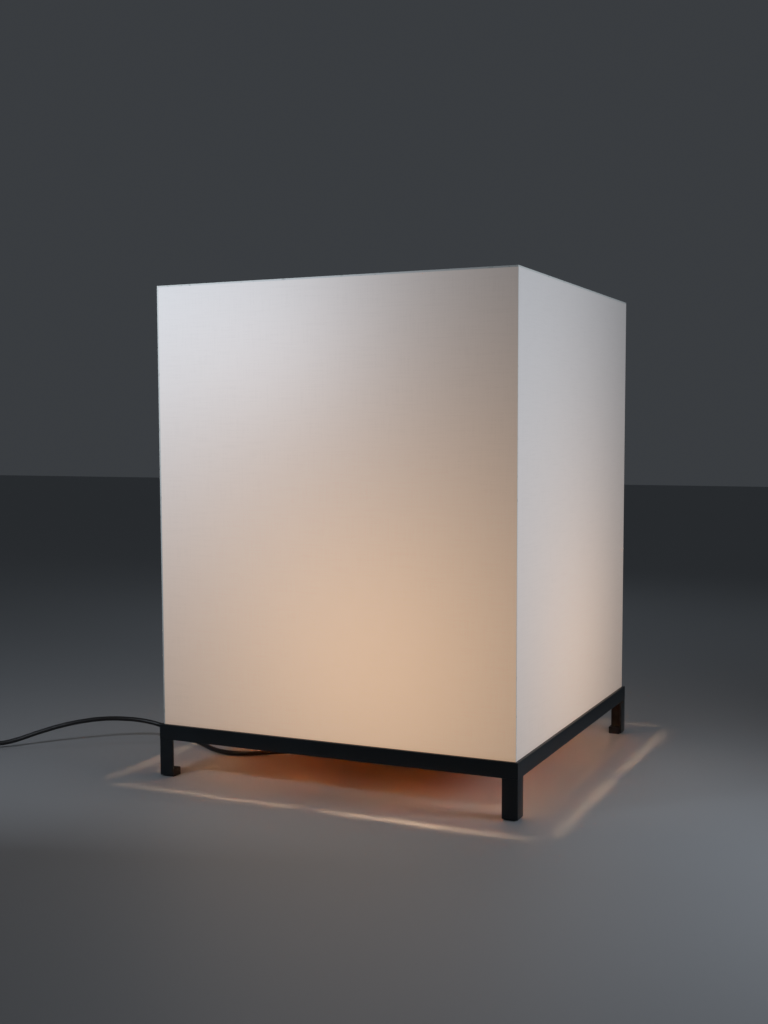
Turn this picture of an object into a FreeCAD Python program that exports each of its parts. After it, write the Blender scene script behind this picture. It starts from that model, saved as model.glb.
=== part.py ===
import FreeCAD, Part
import math
import os
from types import SimpleNamespace

import Sketcher

# A box-shaped floor lamp: a translucent white shade that stands loose on a low frame of welded
# steel angle, with one screw-in LED bulb on a wiring box in the middle, and a mains cord.
# Frame of the model: origin on the floor under the middle of the lamp, +Z up, -Y the front.

# ---------------------------------------------------------------- driving sizes, millimetres
SIZES = [
    ("frame_side", 500, "outer side of the square steel frame"),
    ("base_height", 70, "floor to the top of the frame"),
    ("angle_width", 20, "leg of the steel angle"),
    ("angle_wall", 3, "wall of the steel angle"),
    ("foot_height", 10, "rubber foot block"),
    ("foot_drop", 1.5, "how far the foot stands below the steel"),
    ("foot_inset", 0.4, "foot block inside the edge of the angle"),
    ("foot_round", 2, "rounding of the foot's upright edges"),
    ("bar_width", 30, "flat bars of the cross"),
    ("bar_wall", 3, "thickness of the flat bars"),
    ("panel_gap", 16, "slot between the bottom panel and the frame's flange"),
    ("panel_wall", 3, "thickness of the bottom panel"),
    ("shade_step", 4, "how far the frame stands out beyond the shade on each side"),
    ("shade_height", 575, "height of the shade"),
    ("shade_wall", 2, "laminated sheet of the shade"),
    ("wire_radius", 2, "steel wire of the shade's carcass"),
    ("seat_gap", 0.3, "free play under a loose piece"),
    ("lug_width", 15, "locating lug, leg of its angle"),
    ("lug_wall", 2, "locating lug, wall"),
    ("lug_height", 14, "locating lug, height"),
    ("lug_gap", 0.5, "play between a lug and the wires of the shade"),
    ("cover_side", 160, "wiring box cover, outer side"),
    ("cover_height", 45, "wiring box cover, height"),
    ("cover_wall", 1, "wiring box cover, sheet"),
    ("cover_flange", 12, "wiring box cover, flange that is screwed down"),
    ("screw_radius", 2, "shank of the cover screws"),
    ("screw_head_radius", 4, "head of the cover screws"),
    ("screw_head_height", 2.4, "head of the cover screws"),
    ("screw_gap", 0.2, "hole larger than the shank, on the radius"),
    ("screw_tip", 1.5, "screw standing out under the bar"),
    ("nipple_radius", 5, "hollow threaded nipple"),
    ("nipple_bore", 3.5, "hollow threaded nipple, radius of its bore"),
    ("nipple_below", 8, "nipple below the top of the cover"),
    ("nipple_above", 6, "nipple above the top of the cover"),
    ("thread_gap", 0.1, "radial play in a thread"),
    ("nut_radius", 8, "lock nut, across its corners, halved"),
    ("nut_height", 3, "lock nut"),
    ("holder_radius", 20, "lampholder, outside"),
    ("holder_wall", 2, "lampholder, wall of the mouldings"),
    ("neck_radius", 9, "lampholder base, neck"),
    ("neck_height", 4, "lampholder base, neck"),
    ("flare_height", 7, "lampholder base, cone above the neck"),
    ("holder_base_height", 18, "lampholder base, whole height"),
    ("insert_height", 12, "porcelain insert"),
    ("shell_height", 39, "lampholder shell"),
    ("mouth_radius", 14.6, "mouth of the lampholder shell"),
    ("sleeve_bore", 13.5, "threaded sleeve, clear radius"),
    ("sleeve_wall", 0.5, "threaded sleeve"),
    ("sleeve_height", 22, "threaded sleeve"),
    ("contact_radius", 4, "centre contact of the lampholder"),
    ("contact_height", 3, "centre contact of the lampholder"),
    ("tip_radius", 4.5, "solder tip of the bulb"),
    ("tip_height", 1.5, "solder tip of the bulb"),
    ("glass_radius", 5, "insulator of the bulb, lower radius"),
    ("glass_height", 4.5, "insulator of the bulb"),
    ("cap_root", 12.4, "screw cap, root of the thread"),
    ("cap_crest", 13.2, "screw cap, crest of the thread"),
    ("cap_wall", 0.5, "screw cap, sheet"),
    ("cap_pitch", 3.63, "screw cap, pitch of the thread"),
    ("cap_rim", 2.85, "screw cap, plain rim above the thread"),
    ("collar_radius", 15, "bulb housing, collar"),
    ("collar_height", 3, "bulb housing, collar"),
    ("housing_wall", 1.5, "bulb housing"),
    ("housing_height", 39, "bulb housing"),
    ("globe_radius", 30, "diffuser globe of the bulb"),
    ("globe_wall", 1.2, "diffuser globe of the bulb"),
    ("globe_drop", 12, "globe, from its centre down to its rim"),
    ("led_board_drop", 4, "LED board below the rim of the globe"),
    ("led_board_height", 1.6, "LED board"),
    ("led_side", 3, "one LED"),
    ("led_height", 1, "one LED"),
    ("led_ring", 16, "radius of the ring of LEDs"),
    ("driver_width", 14, "driver board"),
    ("driver_wall", 1.6, "driver board"),
    ("driver_height", 38, "driver board"),
    ("gland_side", 40, "strain relief, off the middle both ways"),
    ("gland_radius", 6.4, "strain relief, shank"),
    ("gland_rim", 9, "strain relief, rims"),
    ("gland_rim_height", 2, "strain relief, rims"),
    ("gland_length", 13, "strain relief, tapered sleeve under its lower rim"),
    ("gland_tip", 4.4, "strain relief, end of the tapered sleeve"),
    ("core_radius", 1.1, "insulated inner lead"),
    ("cord_radius", 3.25, "round mains cord"),
    ("turn_pitch", 7, "coil, from one turn to the next and from layer to layer"),
    ("coil_outer", 46, "coil, middle of its outermost turn"),
    ("switch_length", 58, "in-line switch"),
    ("switch_width", 26, "in-line switch"),
    ("switch_lower", 7, "in-line switch, lower shell"),
    ("switch_upper", 8, "in-line switch, upper shell"),
    ("switch_wall", 2, "in-line switch, walls"),
    ("switch_round", 6, "in-line switch, corners"),
    ("post_radius", 2.8, "in-line switch, posts for its screws"),
    ("post_inset", 7, "in-line switch, posts from its ends and sides"),
    ("case_screw_radius", 1.1, "in-line switch, screws"),
    ("case_screw_head", 2.1, "in-line switch, radius of the screw heads"),
    ("case_screw_sink", 1, "in-line switch, height of the screw heads"),
    ("case_screw_stop", 1, "in-line switch, screws end below the top plate"),
    ("rocker_length", 15, "rocker"),
    ("rocker_width", 10.6, "rocker"),
    ("rocker_rise", 3.4, "rocker, its ends above the pivot"),
    ("rocker_dip", 1.2, "rocker, its middle below its ends"),
    ("rocker_depth", 3.5, "rocker, below the pivot"),
    ("rocker_tilt", 8, "rocker, degrees to either side"),
    ("rocker_gap", 0.35, "play round the rocker"),
    ("pivot_radius", 1.2, "rocker pivot"),
    ("pivot_length", 1.8, "rocker pivot, each side"),
    ("pivot_gap", 0.05, "rocker pivot, radial play"),
    ("cord_entry", 6.5, "middle of the cord where it enters switch and plug"),
    ("plug_length", 40, "flat plug, body"),
    ("plug_width", 35, "flat plug, body"),
    ("plug_height", 13, "flat plug, body"),
    ("plug_waist", 20, "flat plug, width of the grip"),
    ("plug_neck", 11, "flat plug, width where the cord enters"),
    ("plug_round", 1.5, "flat plug, rounding"),
    ("pin_radius", 2, "plug pin"),
    ("pin_length", 19, "plug pin"),
    ("pin_spacing", 19, "plug pins, middle to middle"),
    ("tie_wall", 0.8, "tie round the coil"),
    ("tie_width", 9, "tie round the coil"),
    ("tie_gap", 0.1, "play between tie and coil"),
]

THREAD_TURNS = 5
LED_COUNT = 8

# Places along the cord, chosen from how it lies. The lead falls from the strain relief, touches
# the floor, runs out under the left rail, rises in a low arch and comes down to the switch.
EXIT_RUN = 12.0  # straight down out of the strain relief
LEAD_POINTS = [
    (-47.0, -43.0, 29.5),
    (-60.0, -49.0, 20.0),
    (-82.0, -59.0, 13.2),
    (-117.0, -76.0, 8.4),
    (-163.0, -96.5, 5.6),
    (-208.0, -118.5, 3.4),
    (-247.0, -116.0, 3.4),
    (-281.0, -96.0, 5.0),
    (-315.0, -83.0, 9.0),
    (-350.0, -77.5, 18.0),
    (-387.0, -82.5, 26.8),
    (-420.0, -101.5, 31.6),
    (-448.0, -126.0, 33.2),
    (-481.0, -155.5, 28.2),
    (-510.0, -181.5, 19.0),
    (-535.0, -206.0, 8.8),
    (-553.0, -224.5, 6.5),
]
SWITCH_INLET = (-570.0, -241.0)
SWITCH_HEADING = 225  # degrees, from the inlet towards the outlet
LINK_RUNS = (10.0, 22.0, 32.0)  # along the heading, from the outlet to the coil
COIL_REVERSES = 3.25  # turns inwards before the coil climbs and runs outwards
COIL_TURNS = 5.375
TAIL_RUNS = (14.0, 30.0, 44.0, 66.0)  # along the tail, from the coil to the plug
CLIMB_RUN = 30.0  # straight stretch of the tail that stays above the lower turns

# ---------------------------------------------------------------- document and formulas
doc = FreeCAD.newDocument("box_floor_lamp")
sheet = doc.addObject("Spreadsheet::Sheet", "dims")
for row, (alias, value, note) in enumerate(SIZES, start=1):
    sheet.set(f"A{row}", alias)
    sheet.set(f"B{row}", str(value))
    sheet.set(f"C{row}", note)
    sheet.setAlias(f"B{row}", alias)
doc.recompute()


class Size:
    """A length: its number, and the formula that the document keeps for it."""

    def __init__(self, number, formula):
        self.number = number
        self.formula = formula

    def combined(self, sign, other, swapped=False):
        other = as_size(other)
        left, right = (other, self) if swapped else (self, other)
        number = {
            "+": left.number + right.number,
            "-": left.number - right.number,
            "*": left.number * right.number,
            "/": left.number / (right.number or 1.0),
        }[sign]
        return Size(number, f"({left.formula} {sign} {right.formula})")

    def __add__(self, other):
        return self.combined("+", other)

    def __radd__(self, other):
        return self.combined("+", other, swapped=True)

    def __sub__(self, other):
        return self.combined("-", other)

    def __rsub__(self, other):
        return self.combined("-", other, swapped=True)

    def __mul__(self, other):
        return self.combined("*", other)

    def __rmul__(self, other):
        return self.combined("*", other, swapped=True)

    def __truediv__(self, other):
        return self.combined("/", other)

    def __neg__(self):
        return self.combined("-", 0, swapped=True)


def as_size(value):
    return value if isinstance(value, Size) else Size(float(value), f"{value:.6g}")


d = SimpleNamespace(**{alias: Size(float(sheet.get(alias)), f"dims.{alias}") for alias, _, _ in SIZES})
parts = {}


def finished(label, thing):
    """Gives a sub-part its name, and keeps it for writing."""
    thing.Label = label
    parts[label] = thing
    return thing


def bind(thing, **formulas):
    for name, formula in formulas.items():
        thing.setExpression(name, as_size(formula).formula)
    return thing


def place(thing, x=0, y=0, z=0, turn=None):
    """Puts a thing's own origin at x, y, z, turned by a rotation about that origin."""
    if turn is not None:
        thing.Placement = FreeCAD.Placement(FreeCAD.Vector(), turn)
    for axis, value in zip("xyz", (x, y, z)):
        thing.setExpression(f"Placement.Base.{axis}", as_size(value).formula)
    return thing


def about_z(degrees):
    return FreeCAD.Rotation(FreeCAD.Vector(0, 0, 1), degrees)


def quarter(x, y, turns):
    """The place x, y carried round the middle of the lamp by quarter turns."""
    for _ in range(turns):
        x, y = -as_size(y), as_size(x)
    return x, y


# ---------------------------------------------------------------- ways of making a piece
def block(name, length, width, height, x=0, y=0, z=0, turn=None):
    thing = doc.addObject("Part::Box", name)
    bind(thing, Length=length, Width=width, Height=height)
    return place(thing, x, y, z, turn)


def rod(name, radius, height, x=0, y=0, z=0, turn=None):
    thing = doc.addObject("Part::Cylinder", name)
    bind(thing, Radius=radius, Height=height)
    return place(thing, x, y, z, turn)


def joined(name, things):
    thing = doc.addObject("Part::MultiFuse", name)
    thing.Shapes = things
    return thing


def cut(name, base, tools):
    thing = doc.addObject("Part::Cut", name)
    thing.Base = base
    thing.Tool = tools[0] if len(tools) == 1 else joined(f"{name}_tools", tools)
    return thing


def origin_plane(body, role):
    return next(o for o in body.Origin.OriginFeatures if o.Role == role)


def outline(body, name, role, corners, lift=0):
    """A closed outline of straight edges in a body's own plane, each corner bound to its formulas."""
    sketch = body.newObject("Sketcher::SketchObject", name)
    sketch.AttachmentSupport = [(origin_plane(body, role), "")]
    sketch.MapMode = "FlatFace"
    if lift:
        sketch.setExpression("AttachmentOffset.Base.z", as_size(lift).formula)
    corners = [(as_size(across), as_size(up)) for across, up in corners]
    spots = [FreeCAD.Vector(across.number, up.number, 0) for across, up in corners]
    for i, spot in enumerate(spots):
        sketch.addGeometry(Part.LineSegment(spot, spots[(i + 1) % len(spots)]))
    for i in range(len(spots)):
        sketch.addConstraint(Sketcher.Constraint("Coincident", i, 2, (i + 1) % len(spots), 1))
    for i, corner in enumerate(corners):
        for kind, axis, formula in zip(("DistanceX", "DistanceY"), (-2, -1), corner):
            if formula.number == 0:
                sketch.addConstraint(Sketcher.Constraint("PointOnObject", i, 1, axis))
                continue
            index = sketch.addConstraint(Sketcher.Constraint(kind, -1, 1, i, 1, formula.number))
            sketch.setExpression(f"Constraints[{index}]", formula.formula)
    return sketch


def padded(body, name, sketch, length):
    pad = body.newObject("PartDesign::Pad", name)
    pad.Profile = sketch
    return bind(pad, Length=length)


def pocketed(body, name, sketch, depth=None):
    """Cuts an outline upwards out of a body: right through it, or to a depth."""
    pocket = body.newObject("PartDesign::Pocket", name)
    pocket.Profile = sketch
    pocket.Reversed = True
    if depth is None:
        pocket.Type = "ThroughAll"
    else:
        bind(pocket, Length=depth)
    return pocket


def rounded(body, name, radius, wanted):
    """Rounds those edges of a body for which wanted(edge) holds."""
    doc.recompute()
    base = body.Tip
    names = [f"Edge{i}" for i, edge in enumerate(base.Shape.Edges, start=1) if wanted(edge)]
    fillet = body.newObject("PartDesign::Fillet", name)
    fillet.Base = (base, names)
    return bind(fillet, Radius=radius)


def is_upright(edge):
    first, last = edge.Vertexes[0].Point, edge.Vertexes[-1].Point
    return abs(first.x - last.x) < 1e-6 and abs(first.y - last.y) < 1e-6


def turned(label, corners, z):
    """A piece turned about the upright axis through the middle of the lamp."""
    body = doc.addObject("PartDesign::Body", label)
    sketch = outline(body, f"{label}_outline", "XZ_Plane", corners)
    revolution = body.newObject("PartDesign::Revolution", f"{label}_turned")
    revolution.Profile = sketch
    revolution.ReferenceAxis = (sketch, ["V_Axis"])
    revolution.Angle = 360
    return finished(label, place(body, z=z))


def angle_outline(width, wall):
    return [(0, 0), (width, 0), (width, wall), (wall, wall), (wall, width), (0, width)]


SIDES = ["front", "right", "rear", "left"]
CORNERS = ["front_left", "front_right", "rear_right", "rear_left"]
half_frame = d.frame_side / 2
shade_side = d.frame_side - 2 * d.shade_step
half_shade = shade_side / 2

# ---------------------------------------------------------------- welded frame of steel angle
# A mitred ring with its flange on top, pointing inwards, on four legs of the same angle.
for turns, side in enumerate(SIDES):
    rail = doc.addObject("PartDesign::Body", f"{side}_rail")
    section = [
        (0, 0),
        (d.angle_wall, 0),
        (d.angle_wall, d.angle_width - d.angle_wall),
        (d.angle_width, d.angle_width - d.angle_wall),
        (d.angle_width, d.angle_width),
        (0, d.angle_width),
    ]
    padded(rail, f"{side}_bar", outline(rail, f"{side}_section", "YZ_Plane", section), d.frame_side)
    far = d.frame_side
    for end, mitre in {
        "near": [(0, 0), (0, d.angle_width), (d.angle_width, d.angle_width)],
        "far": [(far, 0), (far, d.angle_width), (far - d.angle_width, d.angle_width)],
    }.items():
        pocketed(rail, f"{side}_{end}_mitre", outline(rail, f"{side}_{end}_line", "XY_Plane", mitre))
    x, y = quarter(-half_frame, -half_frame, turns)
    place(rail, x, y, d.base_height - d.angle_width, about_z(90 * turns))
    finished(f"{side}_rail", rail)

for turns, corner in enumerate(CORNERS):
    leg = doc.addObject("PartDesign::Body", f"{corner}_leg")
    section = outline(leg, f"{corner}_section", "XY_Plane", angle_outline(d.angle_width, d.angle_wall))
    padded(leg, f"{corner}_length", section, d.base_height - d.angle_width - d.foot_drop)
    x, y = quarter(-half_frame, -half_frame, turns)
    finished(f"{corner}_leg", place(leg, x, y, d.foot_drop, about_z(90 * turns)))

# Rubber blocks glued into the inner corners of the legs.
foot_side = d.angle_width - d.angle_wall - d.foot_inset
for turns, corner in enumerate(CORNERS):
    foot = doc.addObject("PartDesign::Body", f"{corner}_foot")
    square = [(0, 0), (foot_side, 0), (foot_side, foot_side), (0, foot_side)]
    padded(foot, f"{corner}_block", outline(foot, f"{corner}_square", "XY_Plane", square), d.foot_height)
    rounded(
        foot,
        f"{corner}_edges",
        d.foot_round,
        lambda edge: is_upright(edge) and min(edge.Vertexes[0].X, edge.Vertexes[0].Y) > 1,
    )
    inner = -half_frame + d.angle_wall
    x, y = quarter(inner, inner, turns)
    finished(f"{corner}_foot", place(foot, x, y, 0, about_z(90 * turns)))

# Short angles welded on the flange, which the shade drops over.
lug_place = d.lug_gap - half_shade + d.shade_wall + 2 * d.wire_radius
for turns, corner in enumerate(CORNERS):
    lug = doc.addObject("PartDesign::Body", f"{corner}_lug")
    section = outline(lug, f"{corner}_lug_section", "XY_Plane", angle_outline(d.lug_width, d.lug_wall))
    padded(lug, f"{corner}_lug_length", section, d.lug_height)
    x, y = quarter(lug_place, lug_place, turns)
    finished(f"{corner}_lug", place(lug, x, y, d.base_height, about_z(90 * turns)))

# ---------------------------------------------------------------- cross of flat bars
# Welded under the flange: one bar from side to side, and two half bars butted against it.
bar_length = d.frame_side - 2 * d.angle_wall
bar_z = d.base_height - d.angle_wall - d.bar_wall
screw_place = d.cover_side / 2 + d.cover_flange / 2
screw_spots = [quarter(screw_place, 0, turns) for turns in range(4)]
tapped = d.screw_radius + d.thread_gap


def drilled(name, radius, spots, z, depth):
    return [rod(f"{name}_{i}", radius, depth, x, y, z) for i, (x, y) in enumerate(spots)]


bar_start = -bar_length / 2
whole_bar = block("whole_bar", bar_length, d.bar_width, d.bar_wall, bar_start, -d.bar_width / 2, bar_z)
whole_holes = drilled("whole_bar_hole", tapped, screw_spots[0::2], bar_z, d.bar_wall)
finished("cross_bar", cut("cross_bar", whole_bar, whole_holes))
half_bar = (bar_length - d.bar_width) / 2
for side, start, spot in (
    ("front", bar_start, screw_spots[3]),
    ("rear", d.bar_width / 2, screw_spots[1]),
):
    bar = block(f"{side}_bar_stock", d.bar_width, half_bar, d.bar_wall, -d.bar_width / 2, start, bar_z)
    holes = drilled(f"{side}_half_bar_hole", tapped, [spot], bar_z, d.bar_wall)
    finished(f"{side}_half_bar", cut(f"{side}_half_bar", bar, holes))

# ---------------------------------------------------------------- bottom panel
# Amber translucent sheet on the cross, smaller than the opening of the frame.
panel_side = d.frame_side - 2 * d.angle_width - 2 * d.panel_gap
panel_z = bar_z + d.bar_wall
panel_top = panel_z + d.panel_wall
panel_stock = block(
    "panel_stock", panel_side, panel_side, d.panel_wall, -panel_side / 2, -panel_side / 2, panel_z
)
gland_spot = (-d.gland_side, -d.gland_side)
panel_holes = drilled("panel_hole", d.screw_radius + d.screw_gap, screw_spots, panel_z, d.panel_wall)
gland_hole = drilled("gland_hole", d.gland_radius + d.thread_gap, [gland_spot], panel_z, d.panel_wall)
finished("bottom_panel", cut("bottom_panel", panel_stock, panel_holes + gland_hole))

# ---------------------------------------------------------------- wiring box
# A pressed cover with a flange, held down by four screws through the panel into the bars.
flange_side = d.cover_side + 2 * d.cover_flange
cover_top = panel_top + d.cover_height
cover_inside = d.cover_side - 2 * d.cover_wall
cover_stock = joined(
    "cover_stock",
    [
        block(
            "cover_hat", d.cover_side, d.cover_side, d.cover_height,
            -d.cover_side / 2, -d.cover_side / 2, panel_top,
        ),
        block(
            "cover_brim", flange_side, flange_side, d.cover_wall,
            -flange_side / 2, -flange_side / 2, panel_top,
        ),
    ],
)
cover_hollow = block(
    "cover_hollow", cover_inside, cover_inside, d.cover_height - d.cover_wall,
    -cover_inside / 2, -cover_inside / 2, panel_top,
)
nipple_hole = rod(
    "nipple_hole", d.nipple_radius + d.thread_gap, 2 * d.cover_wall, 0, 0, cover_top - 1.5 * d.cover_wall
)
cover_holes = drilled("cover_hole", d.screw_radius + d.screw_gap, screw_spots, panel_top, d.cover_wall)
cover_tools = [cover_hollow, nipple_hole, *cover_holes]
finished("wiring_box_cover", cut("wiring_box_cover", cover_stock, cover_tools))

screw_bottom = bar_z - d.screw_tip
head_z = panel_top + d.cover_wall
screws = []
for i, (x, y) in enumerate(screw_spots):
    shank = rod(f"screw_shank_{i}", d.screw_radius, head_z - screw_bottom, x, y, screw_bottom)
    head = rod(f"screw_head_{i}", d.screw_head_radius, d.screw_head_height, x, y, head_z)
    screws.append(joined(f"screw_{i}", [shank, head]))
finished("cover_screws", joined("cover_screws", screws))

# ---------------------------------------------------------------- lampholder
turned(
    "threaded_nipple",
    [
        (d.nipple_bore, 0),
        (d.nipple_radius, 0),
        (d.nipple_radius, d.nipple_below + d.nipple_above),
        (d.nipple_bore, d.nipple_below + d.nipple_above),
    ],
    cover_top - d.nipple_below,
)
nut = doc.addObject("Part::Prism", "nut_stock")
nut.Polygon = 6
bind(nut, Circumradius=d.nut_radius, Height=d.nut_height)
nut_z = cover_top - d.cover_wall - d.nut_height
place(nut, 0, 0, nut_z)
nut_bore = rod("nut_bore", d.nipple_radius + d.thread_gap, d.nut_height, 0, 0, nut_z)
finished("lock_nut", cut("lock_nut", nut, [nut_bore]))

bore = d.nipple_radius + d.thread_gap
cone_top = d.neck_height + d.flare_height
cavity = d.holder_radius - d.holder_wall
turned(
    "lampholder_base",
    [
        (bore, 0),
        (d.neck_radius, 0),
        (d.neck_radius, d.neck_height),
        (d.holder_radius, cone_top),
        (d.holder_radius, d.holder_base_height),
        (cavity, d.holder_base_height),
        (cavity, cone_top + d.holder_wall / 2),
        (d.neck_radius, d.neck_height + d.holder_wall),
        (bore, d.neck_height + d.holder_wall),
    ],
    cover_top,
)
insert_z = cover_top + d.holder_base_height
insert_radius = cavity - d.thread_gap
turned(
    "porcelain_insert",
    [(0, 0), (insert_radius, 0), (insert_radius, d.insert_height), (0, d.insert_height)],
    insert_z,
)
turned(
    "lampholder_shell",
    [
        (cavity, 0),
        (d.holder_radius, 0),
        (d.holder_radius, d.shell_height),
        (d.mouth_radius, d.shell_height),
        (d.mouth_radius, d.shell_height - d.holder_wall),
        (cavity, d.shell_height - d.holder_wall),
    ],
    insert_z,
)
sleeve_z = insert_z + d.insert_height
sleeve_outer = d.sleeve_bore + d.sleeve_wall
turned(
    "threaded_sleeve",
    [
        (d.sleeve_bore, 0),
        (sleeve_outer, 0),
        (sleeve_outer, d.sleeve_height),
        (d.sleeve_bore, d.sleeve_height),
    ],
    sleeve_z,
)
turned(
    "centre_contact",
    [(0, 0), (d.contact_radius, 0), (d.contact_radius, d.contact_height), (0, d.contact_height)],
    sleeve_z,
)

# ---------------------------------------------------------------- LED bulb
bulb_z = sleeve_z + d.contact_height + d.seat_gap
cap_z = d.tip_height + d.glass_height
cap_top = cap_z + THREAD_TURNS * d.cap_pitch + d.cap_rim
cap_inside = d.cap_root - d.cap_wall
turned(
    "bulb_contact",
    [(0, 0), (d.tip_radius - 1, 0), (d.tip_radius, d.tip_height), (0, d.tip_height)],
    bulb_z,
)
turned(
    "bulb_insulator",
    [(0, d.tip_height), (d.glass_radius, d.tip_height), (d.cap_root, cap_z), (0, cap_z)],
    bulb_z,
)
thread = [(d.cap_root, cap_z)]
for i in range(THREAD_TURNS):
    thread.append((d.cap_crest, cap_z + (i + 0.5) * d.cap_pitch))
    thread.append((d.cap_root, cap_z + (i + 1) * d.cap_pitch))
turned(
    "bulb_screw_cap",
    [(cap_inside, cap_z), *thread, (d.cap_crest, cap_top), (cap_inside, cap_top)],
    bulb_z,
)
rim_z = cap_top + d.housing_height
globe_z = rim_z + d.globe_drop
globe_rim = Size(
    math.sqrt(d.globe_radius.number**2 - d.globe_drop.number**2),
    "sqrt(dims.globe_radius^2 - dims.globe_drop^2)",
)
collar_top = cap_top + d.collar_height
board_z = rim_z - d.led_board_drop
turned(
    "bulb_housing",
    [
        (cap_inside, cap_top),
        (d.collar_radius, cap_top),
        (d.collar_radius, collar_top),
        (globe_rim, board_z - d.housing_wall),
        (globe_rim, rim_z),
        (globe_rim - d.housing_wall, rim_z),
        (globe_rim - d.housing_wall, board_z),
        (globe_rim - 2 * d.housing_wall, board_z),
        (d.collar_radius - d.housing_wall, collar_top),
        (d.collar_radius - d.housing_wall, cap_top + d.housing_wall),
        (cap_inside, cap_top + d.housing_wall),
    ],
    bulb_z,
)


def ball(name, radius, z):
    thing = doc.addObject("Part::Sphere", name)
    bind(thing, Radius=radius)
    return place(thing, 0, 0, z)


globe_middle = bulb_z + globe_z
under_globe = block(
    "under_globe", 2 * d.globe_radius, 2 * d.globe_radius, d.globe_radius,
    -d.globe_radius, -d.globe_radius, bulb_z + rim_z - d.globe_radius,
)
globe_tools = [ball("globe_inside", d.globe_radius - d.globe_wall, globe_middle), under_globe]
finished("bulb_globe", cut("bulb_globe", ball("globe_outside", d.globe_radius, globe_middle), globe_tools))

# The LED board lies on the housing's ledge.
board_radius = globe_rim - d.housing_wall - d.thread_gap
board_top = board_z + d.led_board_height
turned(
    "led_board",
    [(0, board_z), (board_radius, board_z), (board_radius, board_top), (0, board_top)],
    bulb_z,
)
leds = []
for i in range(LED_COUNT):
    angle = 2 * math.pi * i / LED_COUNT
    x = d.led_ring * math.cos(angle) - d.led_side / 2
    y = d.led_ring * math.sin(angle) - d.led_side / 2
    leds.append(block(f"led_{i}", d.led_side, d.led_side, d.led_height, x, y, bulb_z + board_top))
finished("led_chips", joined("led_chips", leds))
driver = block(
    "driver_board", d.driver_width, d.driver_wall, d.driver_height,
    -d.driver_width / 2, -d.driver_wall / 2, bulb_z + board_z - d.driver_height,
)
finished("driver_board", driver)

# ---------------------------------------------------------------- shade
# Four equal sheets, each covering the cut edge of the next one, under a lid of the same sheet.
wall_height = d.shade_height - d.shade_wall
for turns, side in enumerate(SIDES):
    x, y = quarter(-half_shade + d.shade_wall, -half_shade, turns)
    sheet_width = shade_side - d.shade_wall
    sheet_turn = about_z(90 * turns)
    panel = block(
        f"{side}_panel", sheet_width, d.shade_wall, wall_height, x, y, d.base_height, sheet_turn
    )
    finished(f"{side}_panel", panel)
lid_z = d.base_height + wall_height
lid = block("top_panel", shade_side, shade_side, d.shade_wall, -half_shade, -half_shade, lid_z)
finished("top_panel", lid)

# Carcass of round steel wire inside the sheets, butt welded.
wire_line = half_shade - d.shade_wall - d.wire_radius
long_wire = 2 * (half_shade - d.shade_wall)
short_wire = 2 * (wire_line - d.wire_radius)
ALONG_X = FreeCAD.Rotation(FreeCAD.Vector(0, 1, 0), 90)
ALONG_Y = FreeCAD.Rotation(FreeCAD.Vector(1, 0, 0), -90)


def wire_square(name, z):
    wires = []
    for i, sign in enumerate((-1, 1)):
        side = wire_line * sign
        wires.append(rod(f"{name}_x{i}", d.wire_radius, long_wire, -long_wire / 2, side, z, ALONG_X))
        wires.append(rod(f"{name}_y{i}", d.wire_radius, short_wire, side, -short_wire / 2, z, ALONG_Y))
    return wires


low_wire_z = d.base_height + d.seat_gap + d.wire_radius
high_wire_z = lid_z - d.wire_radius
finished("bottom_wires", joined("bottom_wires", wire_square("bottom_wire", low_wire_z)))
finished("top_wires", joined("top_wires", wire_square("top_wire", high_wire_z)))
post_z = low_wire_z + d.wire_radius
post_height = high_wire_z - d.wire_radius - post_z
posts = []
for turns, corner in enumerate(CORNERS):
    x, y = quarter(-wire_line, -wire_line, turns)
    posts.append(rod(f"{corner}_post", d.wire_radius, post_height, x, y, post_z))
finished("corner_wires", joined("corner_wires", posts))

# ---------------------------------------------------------------- strain relief
gland_top = panel_top + d.gland_rim_height
rim_under = panel_z - d.gland_rim_height
gland_end = rim_under - d.gland_length
gland = doc.addObject("PartDesign::Body", "strain_relief")
gland_rings = [
    (0, 0),
    (d.gland_tip, 0),
    (d.gland_radius, d.gland_length),
    (d.gland_rim, d.gland_length),
    (d.gland_rim, d.gland_length + d.gland_rim_height),
    (d.gland_radius, d.gland_length + d.gland_rim_height),
    (d.gland_radius, panel_top - gland_end),
    (d.gland_rim, panel_top - gland_end),
    (d.gland_rim, gland_top - gland_end),
    (0, gland_top - gland_end),
]
gland_outline = outline(gland, "strain_relief_outline", "XZ_Plane", gland_rings)
gland_body = gland.newObject("PartDesign::Revolution", "strain_relief_turned")
gland_body.Profile = gland_outline
gland_body.ReferenceAxis = (gland_outline, ["V_Axis"])
gland_body.Angle = 360
finished("strain_relief", place(gland, *gland_spot, gland_end))


# ---------------------------------------------------------------- tubes along a route
def rounded_path(points):
    """Straight runs joined by tangent arcs, as edges, and the arcs' radii.

    Each arc reaches 0.45 of the shorter run beside its corner along both runs.
    """
    points = [FreeCAD.Vector(*point) for point in points]
    edges, radii = [], []
    start = points[0]
    for before, corner, after in zip(points, points[1:], points[2:]):
        back = (before - corner).normalize()
        ahead = (after - corner).normalize()
        reach = 0.45 * min(before.distanceToPoint(corner), corner.distanceToPoint(after))
        half_turn = (math.pi - back.getAngle(ahead)) / 2
        radius = reach / math.tan(half_turn)
        inward = (back + ahead).normalize()
        middle = corner + inward * (radius / math.cos(half_turn) - radius)
        first, last = corner + back * reach, corner + ahead * reach
        edges.append(Part.LineSegment(start, first).toShape())
        edges.append(Part.Arc(first, middle, last).toShape())
        radii.append(radius)
        start = last
    edges.append(Part.LineSegment(start, points[-1]).toShape())
    return edges, radii


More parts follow.
